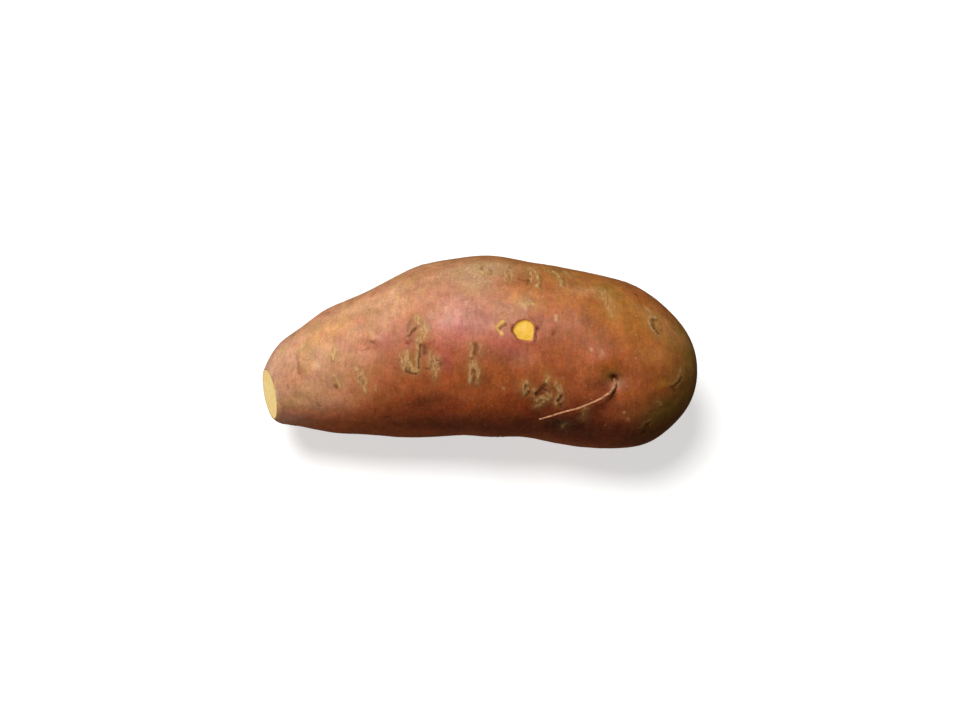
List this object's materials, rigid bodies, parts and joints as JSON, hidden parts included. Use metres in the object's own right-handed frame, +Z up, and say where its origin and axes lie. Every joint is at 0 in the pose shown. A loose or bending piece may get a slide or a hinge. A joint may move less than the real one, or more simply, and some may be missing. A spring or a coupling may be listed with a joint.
{
  "type": "sweet potato",
  "caption": "Whole sweet potato, gently bent, with a knife-cut narrow end, a blunt round end, corky scars, a torn patch of skin and a dry rootlet.",
  "frame": {"origin": "centre of the bounding box at its bottom, on the surface that the root lies on", "axes": "+X along the root from the cut end to the blunt end, +Y sideways towards the outside of its bend, +Z up"},
  "size_m": [0.1592, 0.0719, 0.0657],
  "materials": {
    "root": "thin satin skin, rose-purple over tan and ochre, with tan corky scars, fine pale specks and yellow flesh where it is cut or torn"
  },
  "bodies": {
    "root": {"sweet_potato": "root"}
  },
  "joints": []
}
